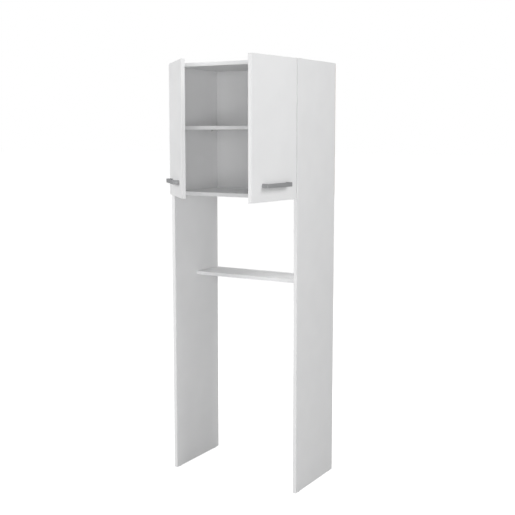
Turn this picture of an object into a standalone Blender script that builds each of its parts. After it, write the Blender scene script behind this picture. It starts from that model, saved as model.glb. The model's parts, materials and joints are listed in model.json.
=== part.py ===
"""Over-the-toilet storage rack: two tall side panels carry a two-door wall cupboard at the top and a
narrow open shelf below it, with a clear bay for the toilet and its cistern underneath.

The rack stands on the floor at z = 0 with its back towards +Y. x = 0 is its plane of symmetry. The
doors stand open: the right one nearly square to the front, the left one half way.
"""

import math

import bmesh
import bpy
from mathutils import Matrix, Vector

# Driving dimensions of the carcass, in metres.
WIDTH = 0.640
DEPTH = 0.350
HEIGHT = 1.850
BOARD = 0.016
CUPBOARD_UNDERSIDE = 1.270
INNER_SHELF_UNDERSIDE = 1.560
LOWER_SHELF_UNDERSIDE = 0.886
LOWER_SHELF_DEPTH = 0.175
FRONT = -0.0165  # y = 0 lies midway between the back panel's rear face and the open right door's tip
GAP = 0.0003  # between pieces that touch
EDGE = 0.0006  # rounding of the boards' edge banding

# Doors and their concealed hinges.
DOOR_WIDTH = 0.316
DOOR_HEIGHT = 0.575
DOOR_REVEAL = 0.002  # the side panel's outer face stands this far proud of the door's edge
DOOR_STANDOFF = 0.003  # from the carcass front to the closed door's back
RIGHT_DOOR_OPEN = math.radians(85.0)
LEFT_DOOR_OPEN = math.radians(45.0)
AXIS_INSET = 0.0094  # from the side panel's outer face to the hinge axis
AXIS_FORWARD = 0.012  # from the carcass front to the hinge axis
HINGE_FROM_DOOR_END = 0.100
CUP_RADIUS = 0.0172
CUP_WALL = 0.0010
CUP_INSET = 0.0225  # from the side panel's outer face to the cup's centre
CUP_DEPTH = 0.0127
PIN_RADIUS = 0.0010
PIN_HALF_LENGTH = 0.0088
ARM_THICKNESS = 0.0026

# Handles.
HANDLE_LENGTH = 0.175
HANDLE_HEIGHT = 0.0175
HANDLE_STANDOFF = 0.0276
HANDLE_BAR = 0.0060
HANDLE_LEG = 0.0080
HANDLE_FROM_DOOR_END = 0.065

# Fittings.
BACK_THICKNESS = 0.003
BACK_INSET = 0.001
GLIDE = 0.003
CAM_RADIUS = 0.0073
CAM_REACH = 0.034  # from a board's end to the centre of the cam lock in it
CAM_FROM_EDGE = 0.060
CAM_POCKET_DEPTH = 0.0128
DOWEL_BORE_RADIUS = 0.0036
DOWEL_THREAD_BORE_RADIUS = 0.0027
DOWEL_THREAD_BORE_DEPTH = 0.0118
SHELF_PIN_RADIUS = 0.0024
SHELF_PIN_BORE_DEPTH = 0.0090
GLIDE_NAIL_BORE_RADIUS = 0.0014
GLIDE_NAIL_BORE_DEPTH = 0.0125
GLIDE_FROM_EDGE = 0.030
HANDLE_SCREW_BORE_RADIUS = 0.0023
HANDLE_SCREW_BORE_DEPTH = 0.012
SHELF_PIN_FROM_EDGE = 0.050
SHELF_CLEARANCE = 0.0015
SHELF_SETBACK = 0.010

# Worked out from the above.
REAR = FRONT + DEPTH
INNER = WIDTH / 2 - BOARD
TOP_UNDERSIDE = HEIGHT - BOARD
DOOR_BACK = FRONT - DOOR_STANDOFF
DOOR_FRONT = DOOR_BACK - BOARD
DOOR_OUTER = WIDTH / 2 - DOOR_REVEAL
DOOR_TOP = HEIGHT - DOOR_REVEAL
DOOR_BOTTOM = DOOR_TOP - DOOR_HEIGHT
AXIS_X = WIDTH / 2 - AXIS_INSET
AXIS_Y = FRONT - AXIS_FORWARD
CUP_X = WIDTH / 2 - CUP_INSET
HINGE_HEIGHTS = {"lower": DOOR_BOTTOM + HINGE_FROM_DOOR_END, "upper": DOOR_TOP - HINGE_FROM_DOOR_END}
SIDES = {"left": -1, "right": 1}


def clear_scene():
    for obj in list(bpy.data.objects):
        bpy.data.objects.remove(obj)


def material(name, colour, roughness, metallic=0.0):
    made = bpy.data.materials.new(name)
    made.use_nodes = True
    shader = made.node_tree.nodes["Principled BSDF"]
    shader.inputs["Base Color"].default_value = (*colour, 1.0)
    shader.inputs["Roughness"].default_value = roughness
    shader.inputs["Metallic"].default_value = metallic
    return made


def palette():
    return {
        "board": material("white_melamine", (0.80, 0.80, 0.80), 0.45),
        "back": material("white_hardboard", (0.78, 0.78, 0.77), 0.55),
        "handle": material("satin_aluminium", (0.42, 0.42, 0.43), 0.38, 1.0),
        "steel": material("nickel_steel", (0.62, 0.61, 0.59), 0.30, 1.0),
        "zinc": material("cast_zinc", (0.50, 0.50, 0.50), 0.45, 1.0),
        "plastic": material("white_plastic", (0.75, 0.75, 0.74), 0.50),
    }


def add_object(name, mesh_builder, at, paint, parent=None):
    """An object whose mesh is built about its own origin, placed at a point of the closed rack."""
    mesh = bpy.data.meshes.new(name)
    bmesh.ops.recalc_face_normals(mesh_builder, faces=mesh_builder.faces)
    mesh_builder.to_mesh(mesh)
    mesh_builder.free()
    obj = bpy.data.objects.new(name, mesh)
    if paint:
        mesh.materials.append(paint)
    if parent:
        obj.parent = parent
        at = Vector(at) - parent.location
    obj.location = at
    bpy.context.scene.collection.objects.link(obj)
    return obj


def add_box(into, low, high):
    """A box between two corners, in either order on each axis."""
    size = [abs(b - a) for a, b in zip(low, high)]
    centre = [(a + b) / 2 for a, b in zip(low, high)]
    place = Matrix.Translation(centre) @ Matrix.Diagonal((*size, 1.0))
    bmesh.ops.create_cube(into, size=1.0, matrix=place)


def add_cylinder(into, start, direction, radius, length, segments=20):
    """A cylinder that begins at start and runs along direction."""
    way = Vector(direction).normalized()
    middle = Vector(start) + way * (length / 2)
    place = Matrix.Translation(middle) @ way.to_track_quat("Z", "Y").to_matrix().to_4x4()
    bmesh.ops.create_cone(
        into, cap_ends=True, segments=segments, radius1=radius, radius2=radius, depth=length, matrix=place
    )


def add_extrusion(into, outline, axis, low, high):
    """A prism: outline is a list of points in the plane across axis, given in X, Y, Z order."""
    corners = []
    for point in outline:
        place = list(point)
        place.insert("XYZ".index(axis), low)
        corners.append(into.verts.new(place))
    face = into.faces.new(corners)
    step = Vector((0, 0, 0))
    step["XYZ".index(axis)] = high - low
    made = bmesh.ops.extrude_face_region(into, geom=[face])["geom"]
    tops = [item for item in made if isinstance(item, bmesh.types.BMVert)]
    bmesh.ops.translate(into, verts=tops, vec=step)


def add_turning(into, profile, direction, segments=16):
    """A turned solid on direction through the origin; profile holds (radius, height) from end to end."""
    way = Vector(direction).normalized()
    turn = way.to_track_quat("Z", "Y").to_matrix()
    rings = []
    for radius, height in profile:
        ring = []
        for step in range(segments):
            angle = 2 * math.pi * (step + 0.5) / segments
            point = Vector((radius * math.cos(angle), radius * math.sin(angle), height))
            ring.append(into.verts.new(turn @ point))
        rings.append(ring)
    into.faces.new(rings[0])
    into.faces.new(rings[-1])
    for lower, upper in zip(rings, rings[1:]):
        for step in range(segments):
            after = (step + 1) % segments
            into.faces.new((lower[step], lower[after], upper[after], upper[step]))


def soften(obj, width, segments=2):
    bevel = obj.modifiers.new("soft_edges", "BEVEL")
    bevel.width = width
    bevel.segments = segments
    bevel.limit_method = "ANGLE"


def round_shading(obj):
    obj.data.shade_smooth()
    obj.data.set_sharp_from_angle(angle=math.radians(35))


def combine(obj, name, other_builder, operation="DIFFERENCE"):
    """Cuts another shape, built about the object's own origin, from the object, or joins it on."""
    other = add_object(f"{obj.name}_{name}", other_builder, (0, 0, 0), None)
    other.parent = obj
    other.hide_render = True
    other.display_type = "WIRE"
    boolean = obj.modifiers.new(name, "BOOLEAN")
    boolean.operation = operation
    boolean.object = other


def add_board(name, low, high, paint, parent=None):
    """A board with lightly rounded edges, between two corners of the closed rack."""
    centre = [(a + b) / 2 for a, b in zip(low, high)]
    shape = bmesh.new()
    half = [(b - a) / 2 for a, b in zip(low, high)]
    add_box(shape, [-h for h in half], half)
    board = add_object(name, shape, centre, paint, parent)
    soften(board, EDGE, 1)
    return board


def drill(board, name, holes, centre):
    """Bores holes in a board. Each is (mouth, direction, radius, depth) in the closed rack's frame."""
    cutters = bmesh.new()
    over = 0.001
    for mouth, direction, radius, depth in holes:
        way = Vector(direction)
        start = Vector(mouth) - Vector(centre) - way * over
        add_cylinder(cutters, start, way, radius, depth + over, 20 if radius > CAM_RADIUS else 10)
    combine(board, name, cutters)


def cross_boards():
    """The fixed boards between the side panels, each as (front y, underside z, rows of cam locks)."""
    deep_rows = {"front": FRONT + CAM_FROM_EDGE, "rear": REAR - CAM_FROM_EDGE}
    shelf_front = REAR - LOWER_SHELF_DEPTH
    return {
        "cabinet_top": (FRONT, TOP_UNDERSIDE, deep_rows),
        "cabinet_bottom": (FRONT, CUPBOARD_UNDERSIDE, deep_rows),
        "lower_shelf": (shelf_front, LOWER_SHELF_UNDERSIDE, {"middle": (shelf_front + REAR) / 2}),
    }


def cam_joints():
    """Every cam-lock joint: (board, side, row) gives (side sign, row y, underside of the board)."""
    joints = {}
    for board, (_, underside, rows) in cross_boards().items():
        for side, sign in SIDES.items():
            for row, y in rows.items():
                joints[board, side, row] = (sign, y, underside)
    return joints


def shelf_pin_places():
    places = {}
    for side, sign in SIDES.items():
        for row, y in {"front": FRONT + SHELF_PIN_FROM_EDGE, "rear": REAR - SHELF_PIN_FROM_EDGE}.items():
            places[side, row] = (sign, y, INNER_SHELF_UNDERSIDE - GAP - SHELF_PIN_RADIUS)
    return places


def glide_places():
    places = {}
    for side, sign in SIDES.items():
        for row, y in {"front": FRONT + GLIDE_FROM_EDGE, "rear": REAR - GLIDE_FROM_EDGE}.items():
            places[side, row] = (sign * (WIDTH - BOARD) / 2, y, 0.0)
    return places


def side_panel(side, sign, paint):
    low = (min(sign * INNER, sign * WIDTH / 2), FRONT, GLIDE)
    high = (max(sign * INNER, sign * WIDTH / 2), REAR, HEIGHT)
    panel = add_board(f"{side}_side_panel", low, high, paint)
    holes = []
    for joint_sign, y, underside in cam_joints().values():
        if joint_sign == sign:
            mouth = (sign * INNER, y, underside + BOARD / 2)
            holes.append((mouth, (sign, 0, 0), DOWEL_THREAD_BORE_RADIUS, DOWEL_THREAD_BORE_DEPTH))
    for pin_sign, y, z in shelf_pin_places().values():
        if pin_sign == sign:
            mouth = (sign * INNER, y, z)
            holes.append((mouth, (sign, 0, 0), SHELF_PIN_RADIUS + GAP, SHELF_PIN_BORE_DEPTH))
    for x, y, _ in glide_places().values():
        if x * sign > 0:
            holes.append(((x, y, GLIDE), (0, 0, 1), GLIDE_NAIL_BORE_RADIUS, GLIDE_NAIL_BORE_DEPTH))
    drill(panel, "bores", holes, panel.location)


def cross_board(name, front, underside, paint):
    """A board between the side panels, with a pocket for each cam lock and a bore for its dowel."""
    span = INNER - GAP
    board = add_board(name, (-span, front, underside), (span, REAR, underside + BOARD), paint)
    pockets = []
    bores = []
    for (owner, _, _), (sign, y, _) in cam_joints().items():
        if owner != name:
            continue
        mouth = (sign * (INNER - CAM_REACH), y, underside)
        pockets.append((mouth, (0, 0, 1), CAM_RADIUS + GAP, CAM_POCKET_DEPTH))
        end = (sign * (INNER - GAP), y, underside + BOARD / 2)
        bores.append((end, (-sign, 0, 0), DOWEL_BORE_RADIUS, CAM_REACH))
    drill(board, "pockets", pockets, board.location)
    drill(board, "dowel_bores", bores, board.location)


def carcass(paints):
    board = paints["board"]
    for side, sign in SIDES.items():
        side_panel(side, sign, board)
    for name, (front, underside, _) in cross_boards().items():
        cross_board(name, front, underside, board)
    shelf_span = INNER - SHELF_CLEARANCE
    shelf_low = (-shelf_span, FRONT + SHELF_SETBACK, INNER_SHELF_UNDERSIDE)
    shelf_high = (shelf_span, REAR - SHELF_CLEARANCE, INNER_SHELF_UNDERSIDE + BOARD)
    add_board("inner_shelf", shelf_low, shelf_high, board)


def back_panel(paint):
    """Thin hardboard, nailed on to the rear edges of the cupboard's boards."""
    half_width = WIDTH / 2 - BACK_INSET
    half_height = (HEIGHT - CUPBOARD_UNDERSIDE) / 2 - BACK_INSET
    shape = bmesh.new()
    add_box(shape, (-half_width, 0, -half_height), (half_width, BACK_THICKNESS, half_height))
    add_object("back_panel", shape, (0, REAR + GAP, (HEIGHT + CUPBOARD_UNDERSIDE) / 2), paint)


def cam_lock(name, sign, place, paint):
    """A zinc cam: a drum with a driver slot in its face and a channel for the dowel's head."""
    shape = bmesh.new()
    radius = CAM_RADIUS
    add_turning(shape, [(radius, 0.0), (radius, 0.0122)], (0, 0, 1), 18)
    cam = add_object(name, shape, place, paint)
    slots = bmesh.new()
    add_box(slots, (-0.0006, -0.0045, -0.001), (0.0006, 0.0045, 0.0022))
    middle = BOARD / 2 - 0.0002
    add_cylinder(slots, (sign * 0.010, 0, middle), (-sign, 0, 0), 0.0034, 0.0145, 10)
    combine(cam, "slots", slots)
    round_shading(cam)


def cam_dowel(name, sign, place, paint):
    """A steel dowel: thread in the side panel, shank in the cross board, head inside the cam."""
    thread, shank, neck, head = 0.0024, 0.0030, 0.0018, 0.0029
    profile = [
        (head - 0.0010, -0.0365), (head, -0.0335), (neck, -0.0320), (neck, -0.0265),
        (shank, -0.0260), (shank, -0.0004), (thread, 0.0004), (thread, 0.0112),
    ]
    shape = bmesh.new()
    add_turning(shape, profile, (sign, 0, 0), 10)
    dowel = add_object(name, shape, place, paint)
    round_shading(dowel)


def cam_fittings(paints):
    for (board, side, row), (sign, y, underside) in cam_joints().items():
        label = f"{board}_{side}_{row}"
        cam_place = (sign * (INNER - CAM_REACH), y, underside + 0.0002)
        cam_lock(f"cam_lock_{label}", sign, cam_place, paints["zinc"])
        cam_dowel(f"cam_dowel_{label}", sign, (sign * INNER, y, underside + BOARD / 2), paints["steel"])


def shelf_pins(paint):
    """Round pegs in the side panels, each with a collar, that carry the inner shelf."""
    radius = SHELF_PIN_RADIUS
    collar = 0.0040
    profile = [
        (radius, -0.0085), (radius, GAP), (collar, GAP), (collar, 0.0012), (radius, 0.0012),
        (radius, 0.0080), (radius - 0.0005, 0.0085),
    ]
    for (side, row), (sign, y, z) in shelf_pin_places().items():
        shape = bmesh.new()
        add_turning(shape, profile, (-sign, 0, 0), 12)
        pin = add_object(f"shelf_pin_{side}_{row}", shape, (sign * INNER, y, z), paint)
        round_shading(pin)


def floor_glides(paint):
    """A plastic pad with a nail, under both ends of each side panel."""
    pad, nail = 0.0072, 0.0011
    top = GLIDE - GAP
    profile = [(pad - 0.0006, 0.0), (pad, 0.0008), (pad, top), (nail, top), (nail, 0.0135), (0.0003, 0.0148)]
    for (side, row), place in glide_places().items():
        shape = bmesh.new()
        add_turning(shape, profile, (0, 0, 1), 12)
        glide = add_object(f"floor_glide_{side}_{row}", shape, place, paint)
        round_shading(glide)


def wall_bracket(paint):
    """A small steel angle in the cupboard's top rear corner, which ties the rack to the wall."""
    thick = 0.002
    leg = 0.030
    back = REAR - GAP
    top = TOP_UNDERSIDE - GAP
    outline = [(0, 0), (0, -leg), (-thick, -leg), (-thick, -thick), (-leg, -thick), (-leg, 0)]
    shape = bmesh.new()
    add_extrusion(shape, outline, "X", -0.020, 0.020)
    bracket = add_object("wall_bracket", shape, (0, back, top), paint)
    holes = bmesh.new()
    add_cylinder(holes, (0, -0.018, -thick - 0.001), (0, 0, 1), 0.0025, thick + 0.002, 16)
    add_cylinder(holes, (0, 0.001, -0.018), (0, -1, 0), 0.0025, thick + 0.002, 16)
    combine(bracket, "screw_holes", holes)


def door_axis(side, sign, opening):
    """An empty on the door's hinge axis; turning it swings the door."""
    axis = bpy.data.objects.new(f"{side}_door_axis", None)
    axis.location = (sign * AXIS_X, AXIS_Y, (DOOR_TOP + DOOR_BOTTOM) / 2)
    axis.rotation_euler = (0, 0, sign * opening)
    bpy.context.scene.collection.objects.link(axis)
    return axis


def handle_screw_xs(sign):
    middle = DOOR_OUTER - DOOR_WIDTH / 2
    reach = (HANDLE_LENGTH - HANDLE_LEG) / 2
    return {"inner": sign * (middle - reach), "outer": sign * (middle + reach)}


def door(side, sign, axis, paint):
    outer, inner = sign * DOOR_OUTER, sign * (DOOR_OUTER - DOOR_WIDTH)
    low = (min(outer, inner), DOOR_FRONT, DOOR_BOTTOM)
    high = (max(outer, inner), DOOR_BACK, DOOR_TOP)
    leaf = add_board(f"{side}_door", low, high, paint, axis)
    centre = [(a + b) / 2 for a, b in zip(low, high)]
    z = DOOR_BOTTOM + HANDLE_FROM_DOOR_END
    through = BOARD + 0.001
    screws = []
    for x in handle_screw_xs(sign).values():
        screws.append(((x, DOOR_BACK, z), (0, -1, 0), HANDLE_SCREW_BORE_RADIUS, through))
    drill(leaf, "screw_holes", screws, centre)
    cutters = bmesh.new()
    for height in HINGE_HEIGHTS.values():
        start = Vector((sign * CUP_X, DOOR_BACK + 0.001, height)) - Vector(centre)
        add_cylinder(cutters, start, (0, -1, 0), CUP_RADIUS + GAP, CUP_DEPTH + GAP + 0.001, 30)
    combine(leaf, "cup_bores", cutters)


def handle(side, sign, axis, paint):
    """A flat bar on two legs, made as one bent C and lying along the foot of the door."""
    half = HANDLE_LENGTH / 2
    front = -HANDLE_STANDOFF
    back = -GAP
    bar = front + HANDLE_BAR
    leg = half - HANDLE_LEG
    outside = [(-half, back), (-half, front), (half, front), (half, back)]
    finger_gap = [(leg, back), (leg, bar), (-leg, bar), (-leg, back)]
    shape = bmesh.new()
    add_extrusion(shape, outside + finger_gap, "Z", -HANDLE_HEIGHT / 2, HANDLE_HEIGHT / 2)
    place = (sign * (DOOR_OUTER - DOOR_WIDTH / 2), DOOR_FRONT, DOOR_BOTTOM + HANDLE_FROM_DOOR_END)
    pull = add_object(f"{side}_handle", shape, place, paint, axis)
    soften(pull, 0.0008, 2)
    holes = bmesh.new()
    over = 0.001
    for end in (-1, 1):
        mouth = (end * (half - HANDLE_LEG / 2), over, 0)
        add_cylinder(holes, mouth, (0, -1, 0), HANDLE_SCREW_BORE_RADIUS, HANDLE_SCREW_BORE_DEPTH + over, 10)
    combine(pull, "screw_holes", holes)


def handle_screws(side, sign, axis, paint):
    """Machine screws from the door's back into the handle's legs."""
    shank, head = 0.0020, 0.0042
    profile = [(shank, -0.0270), (shank, GAP), (head, GAP), (head, 0.0018), (head - 0.0006, 0.0026)]
    z = DOOR_BOTTOM + HANDLE_FROM_DOOR_END
    for row, x in handle_screw_xs(sign).items():
        shape = bmesh.new()
        add_turning(shape, profile, (0, 1, 0), 12)
        screw = add_object(f"handle_screw_{side}_{row}", shape, (x, DOOR_BACK, z), paint, axis)
        slot = bmesh.new()
        add_box(slot, (-0.0026, 0.0014, -0.0004), (0.0026, 0.0040, 0.0004))
        combine(screw, "slot", slot)
        round_shading(screw)


def arc(centre, radius, start, end, steps):
    """Points on an arc, angles in degrees, both ends included."""
    points = []
    for step in range(steps + 1):
        angle = math.radians(start + (end - start) * step / steps)
        points.append((centre[0] + radius * math.cos(angle), centre[1] + radius * math.sin(angle)))
    return points


def mirrored(points, sign):
    """A plan outline drawn for the right side, for either side."""
    return [(sign * x, y) for x, y in points]


def hinge_cup(label, sign, height, axis, paint):
    """The pressed cup let into the door, with a screw flange, and two lugs that hold the pin."""
    across = CUP_X - AXIS_X  # negative: the cup's centre lies inboard of the axis
    deep = -(CUP_DEPTH - 0.0005)
    inner = CUP_RADIUS - CUP_WALL
    proud = 0.0008
    shape = bmesh.new()
    profile = [(CUP_RADIUS, deep), (CUP_RADIUS, proud), (inner, proud), (inner, deep + 0.0008)]
    add_turning(shape, profile, (0, 1, 0), 30)
    cup = add_object(f"hinge_cup_{label}", shape, (sign * CUP_X, DOOR_BACK, height), paint, axis)
    flange = bmesh.new()
    opening = arc((0, 0), CUP_RADIUS - 0.4 * CUP_WALL, 268, 92, 10)
    upper = [(-0.0005, 0.026), (-0.017, 0.026), (-0.020, 0.022)]
    lower = [(x, -z) for x, z in reversed(upper)]
    add_extrusion(flange, mirrored(upper + lower + opening, sign), "Y", GAP, 0.0015)
    combine(cup, "flange", flange, "UNION")
    lugs = bmesh.new()
    for end in (-1, 1):
        low = (sign * (-across - 0.0022), deep + 0.0004, end * 0.0060)
        high = (sign * (-across + 0.0014), AXIS_Y - DOOR_BACK + 0.0028, end * 0.0090)
        add_box(lugs, low, high)
    combine(cup, "lugs", lugs, "UNION")
    rim = bmesh.new()
    add_box(rim, (sign * 0.0055, -0.0002, -0.020), (sign * 0.020, 0.004, 0.020))
    combine(cup, "lowered_rim", rim)
    openings = bmesh.new()
    add_box(openings, (sign * 0.0100, AXIS_Y - DOOR_BACK + 0.0030, -0.0055), (sign * 0.020, 0.002, 0.0055))
    pin_bore = (-sign * across, AXIS_Y - DOOR_BACK, -0.0096)
    add_cylinder(openings, pin_bore, (0, 0, 1), PIN_RADIUS + 0.00015, 0.0192, 12)
    combine(cup, "arm_way_and_pin_bore", openings)
    round_shading(cup)


def hinge_pin(label, sign, height, axis, paint):
    shape = bmesh.new()
    long = PIN_HALF_LENGTH
    add_turning(shape, [(PIN_RADIUS, -long), (PIN_RADIUS, long)], (0, 0, 1), 12)
    pin = add_object(f"hinge_pin_{label}", shape, (sign * AXIS_X, AXIS_Y, height), paint, axis)
    round_shading(pin)


def hook_outline():
    """Plan of the hinge arm's hook about the axis: an eye, a reach inboard, and a return to the rear."""
    half = ARM_THICKNESS / 2
    eye = 0.0024
    reach = -0.0130
    back = AXIS_FORWARD + 0.0075
    meet = math.degrees(math.asin(half / eye))
    points = arc((0, 0), eye, 180 + meet, 540 - meet, 10)
    points += [(reach + ARM_THICKNESS, half), (reach + ARM_THICKNESS, back), (reach, back)]
    points += [(reach, -half + 0.0012), (reach + 0.0012, -half)]
    return points


def hinge_arm(label, sign, height, paint):
    """The arm: a hook out of the cup round the panel's edge, and a channel over the mounting plate."""
    shape = bmesh.new()
    near, far = INNER - 0.0036 - AXIS_X, INNER - 0.0130 - AXIS_X
    start, end = AXIS_FORWARD + 0.006, AXIS_FORWARD + 0.062
    add_box(shape, (sign * near, start, -0.0085), (sign * far, end, 0.0085))
    arm = add_object(f"hinge_arm_{label}", shape, (sign * AXIS_X, AXIS_Y, height), paint)
    soften(arm, 0.0012, 2)
    hollow = bmesh.new()
    mouth, ceiling = sign * (near + 0.001), sign * (far + 0.0015)
    add_box(hollow, (mouth, start + 0.002, -0.0070), (ceiling, end + 0.001, 0.0070))
    combine(arm, "hollow", hollow)
    hook = bmesh.new()
    add_extrusion(hook, mirrored(hook_outline(), sign), "Z", -0.004, 0.004)
    combine(arm, "hook", hook, "UNION")
    eye = bmesh.new()
    add_cylinder(eye, (0, 0, -0.006), (0, 0, 1), PIN_RADIUS + 0.00015, 0.012, 12)
    combine(arm, "eye", eye)
    round_shading(arm)


def mounting_plate(label, sign, height, paint):
    """A cross-shaped plate on the side panel's inner face, with a raised spine inside the arm."""
    face = INNER - GAP
    front, rear = 0.010, 0.056
    wing_low, wing_high = 0.028, 0.046
    bar, wing = 0.0055, 0.026
    upper = [(rear, bar), (wing_high, bar), (wing_high, wing)]
    upper += [(wing_low, wing), (wing_low, bar), (front, bar)]
    lower = [(y, -z) for y, z in reversed(upper)]
    shape = bmesh.new()
    add_extrusion(shape, upper + lower, "X", 0.0, -sign * 0.0024)
    plate = add_object(f"hinge_plate_{label}", shape, (sign * face, FRONT, height), paint)
    spine = bmesh.new()
    add_box(spine, (-sign * 0.0018, front + 0.002, -0.0050), (-sign * 0.0085, rear - 0.002, 0.0050))
    combine(plate, "spine", spine, "UNION")
    holes = bmesh.new()
    for end in (-1, 1):
        middle = (wing_low + wing_high) / 2
        add_cylinder(holes, (sign * 0.001, middle, end * 0.016), (-sign, 0, 0), 0.0024, 0.005, 12)
    combine(plate, "screw_holes", holes)


def doors(paints):
    for (side, sign), opening in zip(SIDES.items(), (LEFT_DOOR_OPEN, RIGHT_DOOR_OPEN)):
        axis = door_axis(side, sign, opening)
        door(side, sign, axis, paints["board"])
        handle(side, sign, axis, paints["handle"])
        handle_screws(side, sign, axis, paints["steel"])
        for level, height in HINGE_HEIGHTS.items():
            label = f"{side}_{level}"
            hinge_cup(label, sign, height, axis, paints["steel"])
            hinge_pin(label, sign, height, axis, paints["steel"])
            hinge_arm(label, sign, height, paints["steel"])
            mounting_plate(label, sign, height, paints["steel"])


def main():
    clear_scene()
    paints = palette()
    carcass(paints)
    back_panel(paints["back"])
    cam_fittings(paints)
    shelf_pins(paints["steel"])
    floor_glides(paints["plastic"])
    wall_bracket(paints["steel"])
    doors(paints)


main()
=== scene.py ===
"""Looks of the over-the-toilet storage rack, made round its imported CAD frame.

All lengths are in metres in the CAD frame: the floor is z = 0, the back is towards +Y, and x = 0 is the
rack's plane of symmetry. What belongs to a door is laid out with that door shut and then swung to rest.
"""

import json
import math

import bmesh
import bpy
from mathutils import Matrix, Vector


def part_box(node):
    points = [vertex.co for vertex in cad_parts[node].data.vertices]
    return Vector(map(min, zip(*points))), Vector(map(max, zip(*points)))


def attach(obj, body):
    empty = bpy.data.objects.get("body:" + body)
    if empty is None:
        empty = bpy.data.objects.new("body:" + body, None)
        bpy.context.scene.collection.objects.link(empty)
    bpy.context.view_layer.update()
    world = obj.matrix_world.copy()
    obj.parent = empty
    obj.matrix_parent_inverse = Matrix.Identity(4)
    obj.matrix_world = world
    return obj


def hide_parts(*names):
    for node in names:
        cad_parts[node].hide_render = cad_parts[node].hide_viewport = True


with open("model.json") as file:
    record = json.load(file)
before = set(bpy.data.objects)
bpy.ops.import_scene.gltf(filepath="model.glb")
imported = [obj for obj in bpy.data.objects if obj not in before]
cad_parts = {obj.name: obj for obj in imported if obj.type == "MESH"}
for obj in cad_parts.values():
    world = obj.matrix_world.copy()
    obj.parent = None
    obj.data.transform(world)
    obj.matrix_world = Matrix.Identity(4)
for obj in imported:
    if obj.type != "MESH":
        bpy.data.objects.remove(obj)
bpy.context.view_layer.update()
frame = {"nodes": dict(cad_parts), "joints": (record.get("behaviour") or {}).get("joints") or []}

SIDES = {"left": -1, "right": 1}
LEVELS = ("lower", "upper")
BODY_OF_DOOR = {"left": "left_door_leaf", "right": "right_door_leaf"}

# Camera, at the photograph's viewing angle; the shift is only what its framing needs.
CAMERA_PLACE = (2.138, -3.4005, 1.540)
CAMERA_YAW = math.radians(30.707)
CAMERA_PITCH = math.radians(6.545)
CAMERA_LENS = 64.76
CAMERA_SHIFT = -0.033

# Light: name, place, target, width, height and power of each softbox.
SOFTBOXES = (
    ("right_softbox", (2.80, 0.15, 2.90), (0.30, 0.15, 1.30), 1.0, 1.4, 34.0),
    ("front_softbox", (2.38, -3.82, 1.28), (0.0, 0.0, 1.20), 2.8, 2.0, 88.0),
    ("left_softbox", (-3.51, -2.03, 2.39), (0.0, 0.0, 1.30), 1.8, 1.8, 96.0),
    ("rear_softbox", (-1.09, 4.08, 2.74), (0.0, 0.0, 1.20), 2.4, 2.0, 40.0),
    ("top_softbox", (0.0, 0.16, 5.00), (0.0, 0.16, 1.85), 1.2, 1.2, 22.0),
)
SKY_SEEN = 1.0
SKY_LIGHT = 0.26
FLOOR_ALBEDO = 0.50
FLOOR_GLOW = 0.88
FLOOR_REACH = 60.0

# Handles.
HANDLE_BAR = 0.0060
HANDLE_LEG = 0.0080
HANDLE_OUTER_ROUND = 0.0022  # the two outer corners, in plan
HANDLE_INNER_ROUND = 0.0035  # the corners of the finger gap, in plan
HANDLE_EDGE_ROUND = 0.0013

# Screws: radius of the head, and how far it stands proud.
PLATE_SCREW = (0.0034, 0.0016)
ARM_SCREW = (0.0029, 0.0010)
CUP_SCREW = (0.0031, 0.0010)
BRACKET_SCREW = (0.0042, 0.0020)
SCREW_TURN = 20  # degrees that the cross is turned from upright
SEAT_GAP = 0.00002  # between a screw's head and what it holds
SHANK_LENGTH = 0.0010
CROSS_CUT_ABOVE = 0.001  # how far the tool that cuts the cross reaches past the head

# Hinges: thicknesses of their plates and cup flanges, and where their screws sit.
PLATE_THICKNESS = 0.0024
PLATE_SCREWS_APART = 0.032
PLATE_SCREWS_BACK = 0.004  # behind the plate's middle
ARM_SCREWS_FROM_END = (0.012, 0.040)
CUP_FLANGE = 0.0015
CUP_SCREWS_INSET = 0.0105
CUP_SCREWS_APART = 0.0436

# Wall bracket.
BRACKET_THICKNESS = 0.002
BRACKET_SCREW_FROM_BACK = 0.018

# Nails of the back panel.
NAIL_HEAD = 0.0024
NAIL_SHANK = 0.0008
NAIL_LENGTH = 0.016
NAIL_TIP = 0.002
NAIL_SINK = 0.0004
NAIL_FROM_EDGE = 0.007
NAILS_ALONG = 7
NAIL_STEPS_UP = 5
DIMPLE_MARGIN = 0.0006
BACK_PANEL_ROUND = 0.0004

# Soft buttons on the doors.
BUMPER_RADIUS = 0.0040
BUMPER_HEIGHT = 0.0022
BUMPER_RIM = 0.0007
BUMPER_FROM_EDGE = 0.012
BUMPER_GAP = 0.00003  # the glue under it
LOWER_BUMPER_RAISED = 0.002  # above the middle of the bottom board

# Meshes.
SLIVER = 0.000003  # edges shorter than this are closed up after a cut
SAME_PLACE = 0.000001  # coordinates nearer than this are the same
TURNED_SEGMENTS = 24
NAIL_SEGMENTS = 20


# ---------------------------------------------------------------------------------------------------
# Places, read from the frame
# ---------------------------------------------------------------------------------------------------

def joint_of(side):
    return next(joint for joint in frame["joints"] if joint["name"] == f"{side}_door_hinge")


def shut_angle(side):
    """How far a door turns from rest until it is shut, in radians."""
    low, high = joint_of(side)["range_deg"]
    return math.radians(high if side == "left" else low)


def turn_about_hinge(side, angle):
    place = Matrix.Translation(joint_of(side)["pos_m"])
    return place @ Matrix.Rotation(angle, 4, "Z") @ place.inverted()


def shut_box(node, side):
    """Lowest and highest corner of a door's CAD node, with the door shut."""
    turn = turn_about_hinge(side, shut_angle(side))
    points = [turn @ vertex.co for vertex in frame["nodes"][node].data.vertices]
    low = Vector([min(point[axis] for point in points) for axis in range(3)])
    high = Vector([max(point[axis] for point in points) for axis in range(3)])
    return low, high


def box_middle(box):
    return (box[0] + box[1]) / 2


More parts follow.
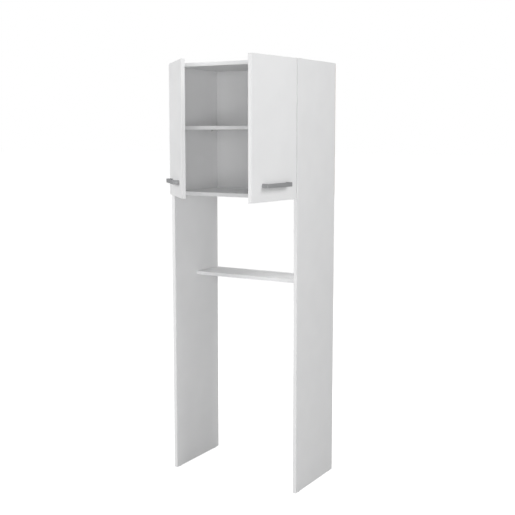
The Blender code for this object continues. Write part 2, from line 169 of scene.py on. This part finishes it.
# ---------------------------------------------------------------------------------------------------
# Materials
# ---------------------------------------------------------------------------------------------------

class Paint:
    """One material, with short calls for making and joining its nodes."""

    def __init__(self, name, **sockets):
        self.made = bpy.data.materials.new(name)
        self.made.use_nodes = True
        self.tree = self.made.node_tree
        self.shader = self.tree.nodes["Principled BSDF"]
        for socket, value in sockets.items():
            self.shader.inputs[socket.replace("_", " ")].default_value = value
        self.place = self.node("TexCoord").outputs["Object"]

    def feed(self, socket, value):
        if isinstance(value, bpy.types.NodeSocket):
            self.tree.links.new(value, socket)
        else:
            socket.default_value = value

    def node(self, kind, inputs=(), **settings):
        made = self.tree.nodes.new("ShaderNode" + kind)
        for key, value in settings.items():
            setattr(made, key, value)
        for key, value in dict(inputs).items():
            self.feed(made.inputs[key], value)
        return made

    def math(self, operation, *values):
        made = self.node("Math", operation=operation)
        for socket, value in zip(made.inputs, values):
            self.feed(socket, value)
        return made.outputs[0]

    def noise(self, size, detail=2.0, stretch=(1, 1, 1), roughness=0.5):
        """Noise whose lumps are about size metres, longer along an axis where stretch is above 1."""
        shrink = tuple(1 / (size * factor) for factor in stretch)
        where = self.node("Mapping", {"Vector": self.place, "Scale": shrink}).outputs[0]
        inputs = {"Vector": where, "Scale": 1.0, "Detail": detail, "Roughness": roughness}
        return self.node("TexNoise", inputs).outputs["Fac"]

    def cells(self, size):
        """Distance to the middle of the nearest cell, for cells of about size metres."""
        return self.node("TexVoronoi", {"Vector": self.place, "Scale": 1 / size}).outputs["Distance"]

    def span(self, value, low, high, to_low=0.0, to_high=1.0):
        """Value's range low to high, eased into the range to_low to to_high and held at its ends."""
        inputs = {"Value": value, "From Min": low, "From Max": high, "To Min": to_low, "To Max": to_high}
        return self.node("MapRange", inputs, interpolation_type="SMOOTHSTEP").outputs["Result"]

    def mix(self, factor, first, second):
        made = self.node("Mix", data_type="RGBA")
        self.feed(made.inputs["Factor"], factor)
        for socket, value in ((made.inputs[6], first), (made.inputs[7], second)):
            self.feed(socket, (*value, 1.0) if isinstance(value, tuple) else value)
        return made.outputs[2]

    def bump(self, height, distance, strength=1.0, under=None):
        inputs = {"Height": height, "Distance": distance, "Strength": strength}
        if under:
            inputs["Normal"] = under
        return self.node("Bump", inputs).outputs["Normal"]

    def finish(self, colour=None, roughness=None, normal=None):
        for socket, value in (("Base Color", colour), ("Roughness", roughness), ("Normal", normal)):
            if value is not None:
                self.feed(self.shader.inputs[socket], value)
        return self.made


# Colours.
WHITE_LIGHT = (0.900, 0.902, 0.905)
WHITE_DARK = (0.868, 0.870, 0.874)
SEAM_GREY = (0.560, 0.555, 0.545)
CHIP_LIGHT = (0.560, 0.400, 0.240)
CHIP_DARK = (0.240, 0.150, 0.080)
BROWN_LIGHT = (0.430, 0.305, 0.196)
BROWN_DARK = (0.325, 0.218, 0.132)
BROWN_SPECK = (0.180, 0.112, 0.062)
HANDLE_LIGHT = (0.362, 0.366, 0.374)
HANDLE_DARK = (0.310, 0.314, 0.321)

# Boards: sizes of what shows on their faces.
BAND = 0.0008  # thickness of the edge banding
SEAM_WIDTH = 0.00022
RUB_REACH = 0.004  # how far from an edge hands rub it
CORE_START = (0.0009, 0.0013)  # how deep under the faces the raw core begins
CLOUD_SIZE, SPECK_SIZE, PEEL_SIZE, WAVE_SIZE = 0.11, 0.0016, 0.0031, 0.045
LACQUER_DEPTH = (0.00025, 0.00035)  # of the back panel's white front face


def turned_place(paint, side):
    """The place on a door as it is with the door shut, so that its material follows its own edges."""
    centre = joint_of(side)["pos_m"]
    inputs = {"Vector": paint.place, "Center": centre, "Angle": shut_angle(side)}
    return paint.node("VectorRotate", inputs, rotation_type="Z_AXIS").outputs[0]


def edge_distances(paint, low, high):
    """For each axis, how far the place is from the nearer of the box's two faces across it."""
    parts = paint.node("SeparateXYZ", {"Vector": paint.place}).outputs
    distances = []
    for axis in range(3):
        above = paint.math("SUBTRACT", parts[axis], low[axis])
        below = paint.math("SUBTRACT", high[axis], parts[axis])
        distances.append(paint.math("MINIMUM", above, below))
    return distances


def chipboard(paint):
    """Colour and height of the raw core that shows in the bores."""
    flakes = paint.cells(0.0022)
    fibres = paint.noise(0.0009, 4.0, (1, 4, 1))
    colour = paint.mix(paint.math("MULTIPLY", flakes, fibres), CHIP_LIGHT, CHIP_DARK)
    return colour, fibres


def melamine(name, low, high, side=None):
    """White melamine-faced board with a thin edge band; its seam, and the core in the bores, show."""
    paint = Paint(f"melamine_{name}", Specular_IOR_Level=0.42)
    if side:
        paint.place = turned_place(paint, side)
    distances = edge_distances(paint, low, high)
    sizes = [high[axis] - low[axis] for axis in range(3)]
    thin = sizes.index(min(sizes))
    broad = [distances[axis] for axis in range(3) if axis != thin]
    to_band = paint.math("MINIMUM", *broad)
    inside = paint.math("MINIMUM", to_band, distances[thin])

    cloud = paint.noise(CLOUD_SIZE, 3.0)
    speck = paint.noise(SPECK_SIZE, 3.0)
    peel = paint.noise(PEEL_SIZE, 2.0)
    wave = paint.noise(WAVE_SIZE, 1.0)
    tone = paint.math("ADD", paint.math("MULTIPLY", cloud, 0.65), paint.math("MULTIPLY", speck, 0.35))
    white = paint.mix(paint.span(tone, 0.25, 0.75), WHITE_DARK, WHITE_LIGHT)

    off_seam = paint.math("ABSOLUTE", paint.math("SUBTRACT", to_band, BAND))
    seam = paint.span(off_seam, 0.0, SEAM_WIDTH, 0.55, 0.0)
    rub = paint.span(to_band, 0.0, RUB_REACH, 1.0, 0.0)
    worn = paint.math("MULTIPLY", rub, paint.span(paint.noise(0.018, 4.0), 0.45, 0.75))
    bare = paint.span(inside, *CORE_START)
    chips, fibres = chipboard(paint)
    colour = paint.mix(paint.math("MULTIPLY", worn, 0.25), white, WHITE_DARK)
    colour = paint.mix(paint.math("MULTIPLY", seam, 0.6), colour, SEAM_GREY)
    colour = paint.mix(bare, colour, chips)

    handled = paint.span(paint.noise(0.065, 4.0), 0.3, 0.7, 0.40, 0.50)
    polished = paint.math("MULTIPLY", worn, 0.10)
    gloss = paint.math("SUBTRACT", handled, polished)
    roughness = paint.math("MAXIMUM", gloss, paint.math("MULTIPLY", bare, 0.9))

    normal = paint.bump(wave, 0.0002, 0.25)
    normal = paint.bump(peel, 0.00005, 0.5, normal)
    normal = paint.bump(speck, 0.00002, 0.4, normal)
    normal = paint.bump(paint.math("MULTIPLY", seam, -1.0), 0.0001, 0.6, normal)
    normal = paint.bump(paint.math("MULTIPLY", bare, fibres), 0.0004, 0.8, normal)
    return paint.finish(colour, roughness, normal)


def hardboard(low):
    """Back panel: lacquered white towards the cupboard, raw brown fibre at the back and the edges."""
    paint = Paint("hardboard_back_panel", Specular_IOR_Level=0.35)
    parts = paint.node("SeparateXYZ", {"Vector": paint.place}).outputs
    lacquer = paint.span(parts[1], *[low.y + depth for depth in LACQUER_DEPTH], 1.0, 0.0)
    cloud = paint.noise(0.09, 3.0)
    fibre = paint.noise(0.0011, 5.0, (5, 1, 1), 0.7)
    felt = paint.noise(0.0008, 4.0, (1, 1, 5), 0.7)
    blotch = paint.noise(0.16, 2.0)
    white = paint.mix(cloud, WHITE_DARK, WHITE_LIGHT)
    weave = paint.math("ADD", paint.math("MULTIPLY", fibre, 0.4), paint.math("MULTIPLY", felt, 0.4))
    tone = paint.math("ADD", weave, paint.math("MULTIPLY", blotch, 0.2))
    brown = paint.mix(paint.span(tone, 0.34, 0.66), BROWN_DARK, BROWN_LIGHT)
    specks = paint.span(paint.cells(0.006), 0.06, 0.12, 0.45, 0.0)
    brown = paint.mix(specks, brown, BROWN_SPECK)
    colour = paint.mix(lacquer, brown, white)
    raw_gloss = paint.span(felt, 0.2, 0.8, 0.68, 0.86)
    white_gloss = paint.span(cloud, 0.3, 0.7, 0.46, 0.56)
    share = paint.math("MULTIPLY", lacquer, paint.math("SUBTRACT", white_gloss, raw_gloss))
    roughness = paint.math("ADD", raw_gloss, share)
    normal = paint.bump(paint.noise(0.05, 1.0), 0.0005, 0.4)
    normal = paint.bump(fibre, 0.00012, 0.6, normal)
    normal = paint.bump(felt, 0.00006, 0.5, normal)
    return paint.finish(colour, roughness, normal)


def brushed(name, side, light, dark, rough):
    """Satin grey metal with fine lines brushed along the handle, and a little uneven in its gloss."""
    paint = Paint(name, Metallic=0.15, Anisotropic=0.35, Specular_IOR_Level=0.30)
    paint.place = turned_place(paint, side)
    lines = paint.noise(0.00035, 3.0, (60, 1, 1))
    long_lines = paint.noise(0.0012, 2.0, (90, 1, 1))
    cloud = paint.noise(0.022, 3.0)
    tone = paint.math("ADD", paint.math("MULTIPLY", lines, 0.6), paint.math("MULTIPLY", long_lines, 0.4))
    colour = paint.mix(paint.span(tone, 0.3, 0.7), dark, light)
    base = paint.span(cloud, 0.3, 0.7, rough - 0.05, rough + 0.05)
    roughness = paint.math("ADD", base, paint.span(lines, 0.3, 0.7, -0.04, 0.04))
    normal = paint.bump(lines, 0.00002, 0.5)
    normal = paint.bump(long_lines, 0.00003, 0.4, normal)
    return paint.finish(colour, roughness, normal)


def plated(name, light, dark, rough, grain):
    """Plated pressed steel: faint rolling lines, small pits and uneven gloss."""
    paint = Paint(name, Metallic=1.0)
    cloud = paint.noise(0.009, 4.0)
    pits = paint.noise(grain, 4.0, roughness=0.6)
    rolling = paint.noise(0.0006, 2.0, (1, 12, 1))
    colour = paint.mix(paint.span(cloud, 0.3, 0.7), dark, light)
    colour = paint.mix(paint.span(pits, 0.62, 0.78, 0.0, 0.25), colour, tuple(0.6 * part for part in dark))
    roughness = paint.span(cloud, 0.25, 0.75, rough - 0.07, rough + 0.08)
    normal = paint.bump(pits, 0.00006, 0.5)
    normal = paint.bump(rolling, 0.00002, 0.4, normal)
    return paint.finish(colour, roughness, normal)


def moulded(name, light, dark, rough, transmission=0.0):
    """Injection-moulded plastic with a fine spark-eroded texture."""
    paint = Paint(name, Specular_IOR_Level=0.45, Transmission_Weight=transmission)
    cloud = paint.noise(0.006, 3.0)
    texture = paint.noise(0.0004, 3.0, roughness=0.6)
    colour = paint.mix(paint.span(cloud, 0.3, 0.7), dark, light)
    roughness = paint.span(texture, 0.3, 0.7, rough - 0.06, rough + 0.06)
    normal = paint.bump(texture, 0.00004, 0.6)
    return paint.finish(colour, roughness, normal)


def palette():
    made = {
        "steel": plated("nickel_plated_steel", (0.70, 0.69, 0.67), (0.62, 0.61, 0.59), 0.28, 0.0009),
        "zinc": plated("die_cast_zinc", (0.58, 0.58, 0.58), (0.42, 0.42, 0.43), 0.45, 0.0014),
        "screw": plated("zinc_plated_screws", (0.66, 0.67, 0.68), (0.48, 0.48, 0.50), 0.34, 0.0007),
        "nail": plated("bright_nails", (0.56, 0.55, 0.53), (0.36, 0.35, 0.34), 0.42, 0.0006),
        "plastic": moulded("white_plastic", (0.80, 0.80, 0.79), (0.72, 0.72, 0.71), 0.50),
        "bumper": moulded("clear_bumpers", (0.86, 0.87, 0.87), (0.78, 0.79, 0.79), 0.22, 0.35),
    }
    for side in SIDES:
        made[f"{side}_handle"] = brushed(f"satin_aluminium_{side}", side, HANDLE_LIGHT, HANDLE_DARK, 0.52)
    return made


def dress_cad_nodes(paints):
    """Gives every CAD node that stays in view its detailed material."""
    boards = ("left_side_panel", "right_side_panel", "cabinet_top", "cabinet_bottom")
    shelves = ("inner_shelf", "lower_shelf")
    dress = {name: melamine(name, *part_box(name)) for name in boards + shelves}
    for side in SIDES:
        dress[f"{side}_door"] = melamine(f"{side}_door", *shut_box(f"{side}_door", side), side)
    starts = {
        "cam_lock": "zinc", "cam_dowel": "screw", "floor_glide": "plastic", "shelf_pin": "steel",
        "hinge_": "steel", "handle_screw": "screw", "wall_bracket": "steel",
    }
    for name, node in frame["nodes"].items():
        for start, key in starts.items():
            if name.startswith(start):
                dress[name] = paints[key]
        if name in dress:
            node.material_slots[0].material = dress[name]


# ---------------------------------------------------------------------------------------------------
# Mesh building
# ---------------------------------------------------------------------------------------------------

def add_box(into, low, high, turn=Matrix()):
    size = [abs(b - a) for a, b in zip(low, high)]
    centre = [(a + b) / 2 for a, b in zip(low, high)]
    place = turn @ Matrix.Translation(centre) @ Matrix.Diagonal((*size, 1.0))
    bmesh.ops.create_cube(into, size=1.0, matrix=place)


def add_turning(into, profile, place, segments=TURNED_SEGMENTS):
    """A turned solid about place's own Z axis; profile holds (radius, height) from end to end."""
    rings = []
    for radius, height in profile:
        ring = []
        for step in range(segments):
            angle = 2 * math.pi * step / segments
            point = Vector((radius * math.cos(angle), radius * math.sin(angle), height))
            ring.append(into.verts.new(place @ point))
        rings.append(ring)
    into.faces.new(rings[0])
    into.faces.new(rings[-1])
    for lower, upper in zip(rings, rings[1:]):
        for step in range(segments):
            after = (step + 1) % segments
            into.faces.new((lower[step], lower[after], upper[after], upper[step]))


def crown(radius, height, base, steps=5):
    """Profile points of a domed head, from its rim at base to near its tip."""
    points = []
    for step in range(steps + 1):
        angle = math.radians(90) * step / (steps + 0.5)
        points.append((radius * math.cos(angle), base + height * math.sin(angle)))
    return points


def piece(name, builder, paint, body, smooth=40):
    """Turns a bmesh into a named piece that rides on a body and takes its finish from a slot."""
    bmesh.ops.recalc_face_normals(builder, faces=builder.faces)
    mesh = bpy.data.meshes.new(name)
    builder.to_mesh(mesh)
    builder.free()
    mesh.materials.append(paint)
    mesh.shade_smooth()
    mesh.set_sharp_from_angle(angle=math.radians(smooth))
    made = bpy.data.objects.new(name, mesh)
    bpy.context.scene.collection.objects.link(made)
    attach(made, body)
    return made


def cut(target, builder):
    """Cuts another closed shape from the piece, for good."""
    mesh = bpy.data.meshes.new("cutter")
    bmesh.ops.recalc_face_normals(builder, faces=builder.faces)
    builder.to_mesh(mesh)
    builder.free()
    cutter = bpy.data.objects.new("cutter", mesh)
    bpy.context.scene.collection.objects.link(cutter)
    boolean = target.modifiers.new("cut", "BOOLEAN")
    boolean.operation = "DIFFERENCE"
    boolean.object = cutter
    bpy.context.view_layer.update()
    result = bpy.data.meshes.new_from_object(target.evaluated_get(bpy.context.evaluated_depsgraph_get()))
    target.modifiers.remove(boolean)
    target.data = result
    bpy.data.objects.remove(cutter)
    shape = bmesh.new()
    shape.from_mesh(result)
    bmesh.ops.triangulate(shape, faces=shape.faces)
    bmesh.ops.dissolve_degenerate(shape, dist=SLIVER, edges=shape.edges)
    shape.to_mesh(result)
    shape.free()


def aim(place, way):
    """A matrix at place whose Z axis points along way."""
    return Matrix.Translation(place) @ Vector(way).to_track_quat("Z", "Y").to_matrix().to_4x4()


# ---------------------------------------------------------------------------------------------------
# Handles
# ---------------------------------------------------------------------------------------------------

def handle_outline(low, high):
    """Plan of the C-shaped handle, legs towards +Y, with its outer corners and finger gap rounded."""
    outer, inner, steps = HANDLE_OUTER_ROUND, HANDLE_INNER_ROUND, 5
    bar, leg = low.y + HANDLE_BAR, HANDLE_LEG
    corners = [
        ((low.x + outer, low.y + outer), outer, 180), ((high.x - outer, low.y + outer), outer, 270),
    ]
    points = [(low.x, high.y)]
    for (x, y), radius, start in corners:
        for step in range(steps + 1):
            angle = math.radians(start + 90 * step / steps)
            points.append((x + radius * math.cos(angle), y + radius * math.sin(angle)))
    points += [(high.x, high.y), (high.x - leg, high.y)]
    corners = [
        ((high.x - leg - inner, bar + inner), inner, 0), ((low.x + leg + inner, bar + inner), inner, 270),
    ]
    for (x, y), radius, start in corners:
        for step in range(steps + 1):
            angle = math.radians(start - 90 * step / steps)
            points.append((x + radius * math.cos(angle), y + radius * math.sin(angle)))
    points.append((low.x + leg, high.y))
    return points


def handle(side, paints):
    low, high = shut_box(f"{side}_handle", side)
    shape = bmesh.new()
    corners = [shape.verts.new((x, y, low.z)) for x, y in handle_outline(low, high)]
    foot = shape.faces.new(corners)
    made = bmesh.ops.extrude_face_region(shape, geom=[foot])["geom"]
    tops = [item for item in made if isinstance(item, bmesh.types.BMVert)]
    bmesh.ops.translate(shape, verts=tops, vec=(0, 0, high.z - low.z))
    bmesh.ops.recalc_face_normals(shape, faces=shape.faces)
    rims = [edge for edge in shape.edges if abs(edge.verts[0].co.z - edge.verts[1].co.z) < SAME_PLACE]
    kept = [edge for edge in rims if min(corner.co.y for corner in edge.verts) < high.y - SAME_PLACE]
    bmesh.ops.bevel(
        shape, geom=kept, offset=HANDLE_EDGE_ROUND, segments=4, profile=0.5,
        affect="EDGES", clamp_overlap=True,
    )
    shape.transform(turn_about_hinge(side, -shut_angle(side)))
    made = piece(f"{side}_handle_pull", shape, paints[f"{side}_handle"], BODY_OF_DOOR[side], 30)
    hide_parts(f"{side}_handle")


# ---------------------------------------------------------------------------------------------------
# Screws, nails and bumpers
# ---------------------------------------------------------------------------------------------------

def add_screw(heads, recesses, place, radius, proud):
    """A domed head at place, standing along its Z axis, with a short shank and a cross to be cut."""
    shank = 0.45 * radius
    profile = [(shank, -SHANK_LENGTH), (shank, SEAT_GAP), (radius, SEAT_GAP), (radius, 0.25 * proud)]
    profile += crown(radius, 0.75 * proud, 0.25 * proud)[1:]
    add_turning(heads, profile, place)
    arm, width = 0.62 * radius, 0.11 * radius
    for turn, recess in zip((SCREW_TURN, SCREW_TURN + 90), recesses):
        spin = place @ Matrix.Rotation(math.radians(turn), 4, "Z")
        add_box(recess, (-arm, -width, 0.35 * proud), (arm, width, proud + CROSS_CUT_ABOVE), spin)


def screws(name, places, paint, body, size):
    """Screws as one piece. The two arms of each cross overlap, so they are cut one after the other."""
    heads, recesses = bmesh.new(), (bmesh.new(), bmesh.new())
    for place in places:
        add_screw(heads, recesses, place, *size)
    made = piece(name, heads, paint, body)
    for recess in recesses:
        cut(made, recess)
    made.data.shade_smooth()
    made.data.set_sharp_from_angle(angle=math.radians(40))


def hinge_screws(side, sign, paints):
    """Screws of each hinge's plate and arm (on the side panel) and of its cup (on the door)."""
    paint = paints["screw"]
    turn = turn_about_hinge(side, -shut_angle(side))
    inwards = (-sign, 0, 0)
    for level in LEVELS:
        label = f"{side}_{level}"
        plate_low, plate_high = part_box(f"hinge_plate_{label}")
        plate_face = (plate_high.x if sign > 0 else plate_low.x) - sign * PLATE_THICKNESS
        middle = box_middle((plate_low, plate_high))
        y = middle.y + PLATE_SCREWS_BACK
        heights = [middle.z + end * PLATE_SCREWS_APART / 2 for end in (-1, 1)]
        places = [aim((plate_face, y, z), inwards) for z in heights]
        screws(f"hinge_plate_screws_{label}", places, paint, "carcass", PLATE_SCREW)

        arm_low, arm_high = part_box(f"hinge_arm_{label}")
        arm_face = arm_low.x if sign > 0 else arm_high.x
        places = [aim((arm_face, arm_high.y - back, middle.z), inwards) for back in ARM_SCREWS_FROM_END]
        screws(f"hinge_arm_screws_{label}", places, paint, "carcass", ARM_SCREW)

        cup_low, cup_high = shut_box(f"hinge_cup_{label}", side)
        x = (cup_low.x if sign > 0 else cup_high.x) + sign * CUP_SCREWS_INSET
        y = shut_box(f"{side}_door", side)[1].y + CUP_FLANGE
        heights = [box_middle((cup_low, cup_high)).z + end * CUP_SCREWS_APART / 2 for end in (-1, 1)]
        places = [turn @ aim((x, y, z), (0, 1, 0)) for z in heights]
        screws(f"hinge_cup_screws_{label}", places, paint, BODY_OF_DOOR[side], CUP_SCREW)


def bracket_screw(paints):
    """The screw that holds the wall bracket up against the top board."""
    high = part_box("wall_bracket")[1]
    place = aim((0, high.y - BRACKET_SCREW_FROM_BACK, high.z - BRACKET_THICKNESS), (0, 0, -1))
    screws("wall_bracket_screw", [place], paints["screw"], "carcass", BRACKET_SCREW)


def nail_places(low, high):
    """Nails round the back panel, in the rear edges of the cupboard's sides, top and bottom."""
    side_x = high.x - NAIL_FROM_EDGE
    top, bottom = high.z - NAIL_FROM_EDGE, low.z + NAIL_FROM_EDGE
    places = []
    for z in (top, bottom):
        for step in range(NAILS_ALONG):
            places.append((-side_x + 2 * side_x * step / (NAILS_ALONG - 1), z))
    for sign in SIDES.values():
        for step in range(1, NAIL_STEPS_UP):
            places.append((sign * side_x, bottom + (top - bottom) * step / NAIL_STEPS_UP))
    return places


def back_panel(paints):
    """The hardboard back, with a dimple round each nail, and the nails themselves."""
    low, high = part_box("back_panel")
    shape = bmesh.new()
    add_box(shape, low, high)
    bmesh.ops.bevel(
        shape, geom=list(shape.edges), offset=BACK_PANEL_ROUND, segments=2, profile=0.5,
        affect="EDGES", clamp_overlap=True,
    )
    panel = piece("back_panel_board", shape, hardboard(low), "carcass", 30)
    dimples, nails = bmesh.new(), bmesh.new()
    rim = NAIL_HEAD + DIMPLE_MARGIN
    dimple = [(NAIL_HEAD * 0.8, -0.0011), (rim, 0.0), (rim + 0.0012, NAIL_SINK + 0.0010)]
    nail = [
        (0.0003, -NAIL_LENGTH), (NAIL_SHANK, -NAIL_LENGTH + NAIL_TIP), (NAIL_SHANK, -0.0010),
        (NAIL_HEAD, -0.0008), *crown(NAIL_HEAD, 0.0006, -0.0004),
    ]
    for x, z in nail_places(low, high):
        sunk = aim((x, high.y - NAIL_SINK, z), (0, 1, 0))
        add_turning(dimples, dimple, sunk, NAIL_SEGMENTS)
        add_turning(nails, nail, sunk, NAIL_SEGMENTS)
    cut(panel, dimples)
    panel.data.shade_smooth()
    panel.data.set_sharp_from_angle(angle=math.radians(30))
    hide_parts("back_panel")
    piece("back_panel_nails", nails, paints["nail"], "carcass")


def door_bumpers(side, sign, paints):
    """Two soft buttons near the door's free edge, which meet the cupboard's top and bottom boards."""
    low, high = shut_box(f"{side}_door", side)
    x = (low.x if sign > 0 else high.x) + sign * BUMPER_FROM_EDGE
    top = box_middle(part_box("cabinet_top")).z
    bottom = box_middle(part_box("cabinet_bottom")).z + LOWER_BUMPER_RAISED
    button = [
        (BUMPER_RADIUS - 0.0002, 0.0), (BUMPER_RADIUS, 0.0003), (BUMPER_RADIUS, BUMPER_RIM),
        *crown(BUMPER_RADIUS, BUMPER_HEIGHT - BUMPER_RIM, BUMPER_RIM)[1:],
    ]
    turn = turn_about_hinge(side, -shut_angle(side))
    shape = bmesh.new()
    for z in (top, bottom):
        add_turning(shape, button, turn @ aim((x, high.y + BUMPER_GAP, z), (0, 1, 0)))
    piece(f"{side}_door_bumpers", shape, paints["bumper"], BODY_OF_DOOR[side])


# ---------------------------------------------------------------------------------------------------
# Stage: floor, light and camera
# ---------------------------------------------------------------------------------------------------

def floor():
    """A pale studio floor out to the horizon, seen as bright as the surround, though it lights less."""
    paint = Paint("studio_floor", Specular_IOR_Level=0.1)
    cloud = paint.noise(0.6, 2.0)
    pale = (FLOOR_ALBEDO, FLOOR_ALBEDO, FLOOR_ALBEDO)
    paint.finish(paint.mix(cloud, pale, tuple(1.02 * part for part in pale)), 0.8)
    seen = paint.node("LightPath").outputs["Is Camera Ray"]
    paint.shader.inputs["Emission Color"].default_value = (1.0, 1.0, 1.0, 1.0)
    paint.feed(paint.shader.inputs["Emission Strength"], paint.math("MULTIPLY", seen, FLOOR_GLOW))
    shape = bmesh.new()
    bmesh.ops.create_grid(shape, x_segments=4, y_segments=4, size=FLOOR_REACH)
    mesh = bpy.data.meshes.new("floor")
    shape.to_mesh(mesh)
    shape.free()
    mesh.materials.append(paint.made)
    made = bpy.data.objects.new("floor", mesh)
    bpy.context.scene.collection.objects.link(made)


def sky():
    """An even white surround: plain white where it is seen, and softer as a light."""
    world = bpy.data.worlds.new("studio")
    world.use_nodes = True
    tree = world.node_tree
    shade = tree.nodes["Background"]
    shade.inputs["Color"].default_value = (1.0, 1.0, 1.0, 1.0)
    seen = tree.nodes.new("ShaderNodeLightPath").outputs["Is Camera Ray"]
    strength = tree.nodes.new("ShaderNodeMapRange")
    tree.links.new(seen, strength.inputs["Value"])
    strength.inputs["To Min"].default_value = SKY_LIGHT
    strength.inputs["To Max"].default_value = SKY_SEEN
    tree.links.new(strength.outputs["Result"], shade.inputs["Strength"])
    bpy.context.scene.world = world


def softbox(name, place, target, width, height, power):
    """A soft lamp that lights the rack but isn't seen itself."""
    lamp = bpy.data.lights.new(name, "AREA")
    lamp.shape = "RECTANGLE"
    lamp.size, lamp.size_y = width, height
    lamp.energy = power
    made = bpy.data.objects.new(name, lamp)
    made.location = place
    made.rotation_euler = (Vector(place) - Vector(target)).to_track_quat("Z", "Y").to_euler()
    made.visible_camera = False
    bpy.context.scene.collection.objects.link(made)


def camera():
    data = bpy.data.cameras.new("camera")
    data.sensor_width = 36.0
    data.lens = CAMERA_LENS
    data.shift_y = CAMERA_SHIFT
    data.clip_end = 200.0
    made = bpy.data.objects.new("camera", data)
    made.location = CAMERA_PLACE
    made.rotation_euler = (math.radians(90) - CAMERA_PITCH, 0.0, CAMERA_YAW)
    bpy.context.scene.collection.objects.link(made)
    bpy.context.scene.camera = made


def main():
    paints = palette()
    dress_cad_nodes(paints)
    back_panel(paints)
    bracket_screw(paints)
    for side, sign in SIDES.items():
        handle(side, paints)
        hinge_screws(side, sign, paints)
        door_bumpers(side, sign, paints)
    floor()
    sky()
    for lamp in SOFTBOXES:
        softbox(*lamp)
    camera()
    bpy.context.scene.view_settings.view_transform = "Standard"


main()
